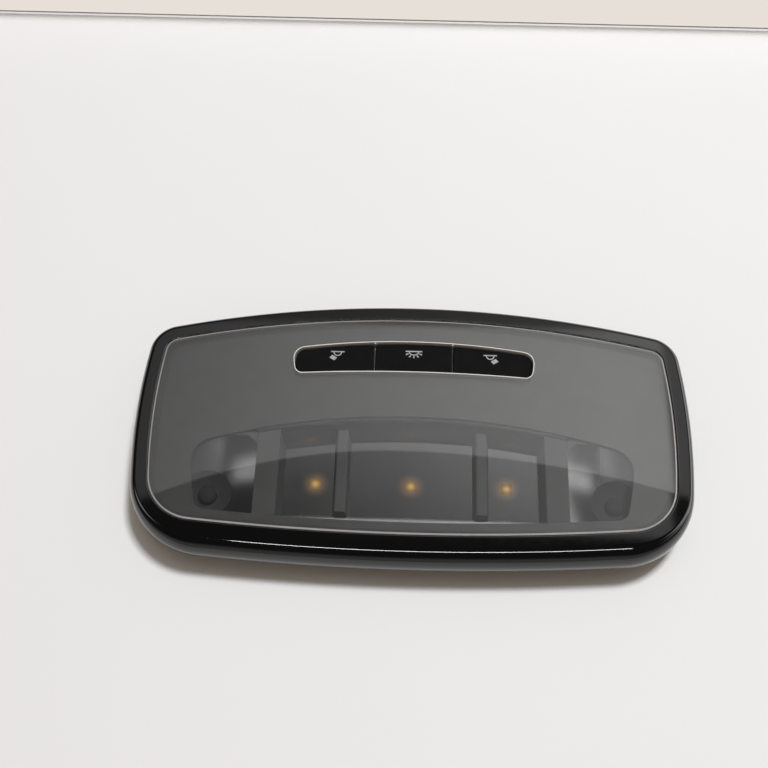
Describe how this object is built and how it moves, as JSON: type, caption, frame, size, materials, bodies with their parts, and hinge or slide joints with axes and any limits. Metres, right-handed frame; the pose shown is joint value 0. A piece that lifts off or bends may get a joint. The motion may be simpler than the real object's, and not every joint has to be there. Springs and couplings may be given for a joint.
{
  "type": "car interior light",
  "caption": "Flush roof lamp for a car: rounded gloss bezel, smoked lens over a dome light and reading lights, push keys in an arched slot, clipped rear housing.",
  "frame": {"origin": "middle of the lamp's outline, on the surface that its rear ribs lie on", "axes": "+X to the right along the width, +Y towards the keys, +Z out of the lens"},
  "size_m": [0.1842, 0.0926, 0.019],
  "materials": {
    "bezel_gloss": "high gloss moulded plastic",
    "smoked_lens": "smoked plastic with a fine satin front",
    "mask_grey": "matt printed sheet",
    "ring_pale": "satin pale plastic",
    "guide_pale": "matt moulded plastic",
    "key_black": "fine satin paint",
    "clear_plastic": "polished clear plastic",
    "switch_black": "matt moulded plastic",
    "plunger_grey": "matt moulded plastic",
    "led_package": "white package with yellow phosphor",
    "reflector_grey": "satin moulded plastic",
    "board_green": "solder mask over laminate",
    "chip_black": "matt mould compound",
    "can_metal": "brushed can",
    "inductor_grey": "ferrite",
    "housing_black": "fine spark-eroded texture",
    "pin_gold": "plated",
    "spring_steel": "rolled strip"
  },
  "bodies": {
    "lamp": {"bezel": "bezel_gloss", "cover_lens": "smoked_lens", "mask_panel": "mask_grey", "button_surround": "ring_pale", "button_guide": "guide_pale", "switch_left": "switch_black", "switch_centre": "switch_black", "switch_right": "switch_black", "symbol_led_left": "led_package", "symbol_led_centre": "led_package", "symbol_led_right": "led_package", "dome_reflector": "reflector_grey", "dome_led_left": "led_package", "dome_led_centre": "led_package", "dome_led_right": "led_package", "reading_reflector_left": "reflector_grey", "reading_reflector_right": "reflector_grey", "reading_optic_left": "clear_plastic", "reading_optic_right": "clear_plastic", "reading_led_left": "led_package", "reading_led_right": "led_package", "circuit_board": "board_green", "driver_chip": "chip_black", "capacitors": "can_metal", "power_inductor": "inductor_grey", "resistors": "chip_black", "connector_housing": "housing_black", "connector_pins": "pin_gold", "rear_housing": "housing_black", "spring_clip_left_front": "spring_steel", "spring_clip_left_back": "spring_steel", "spring_clip_right_front": "spring_steel", "spring_clip_right_back": "spring_steel", "board_screws": "spring_steel"},
    "key_left": {"button_left": "key_black", "symbol_pipe_left": "clear_plastic", "switch_plunger_left": "plunger_grey"},
    "key_centre": {"button_centre": "key_black", "symbol_pipe_centre": "clear_plastic", "switch_plunger_centre": "plunger_grey"},
    "key_right": {"button_right": "key_black", "symbol_pipe_right": "clear_plastic", "switch_plunger_right": "plunger_grey"}
  },
  "joints": [
    {"name": "key_left_press", "type": "slide", "parent": "lamp", "child": "key_left", "axis": [0, 0, -1], "range_m": [0, 0.0008], "stiffness_N_per_m": 600},
    {"name": "key_centre_press", "type": "slide", "parent": "lamp", "child": "key_centre", "axis": [0, 0, -1], "range_m": [0, 0.0008], "stiffness_N_per_m": 600},
    {"name": "key_right_press", "type": "slide", "parent": "lamp", "child": "key_right", "axis": [0, 0, -1], "range_m": [0, 0.0008], "stiffness_N_per_m": 600}
  ]
}
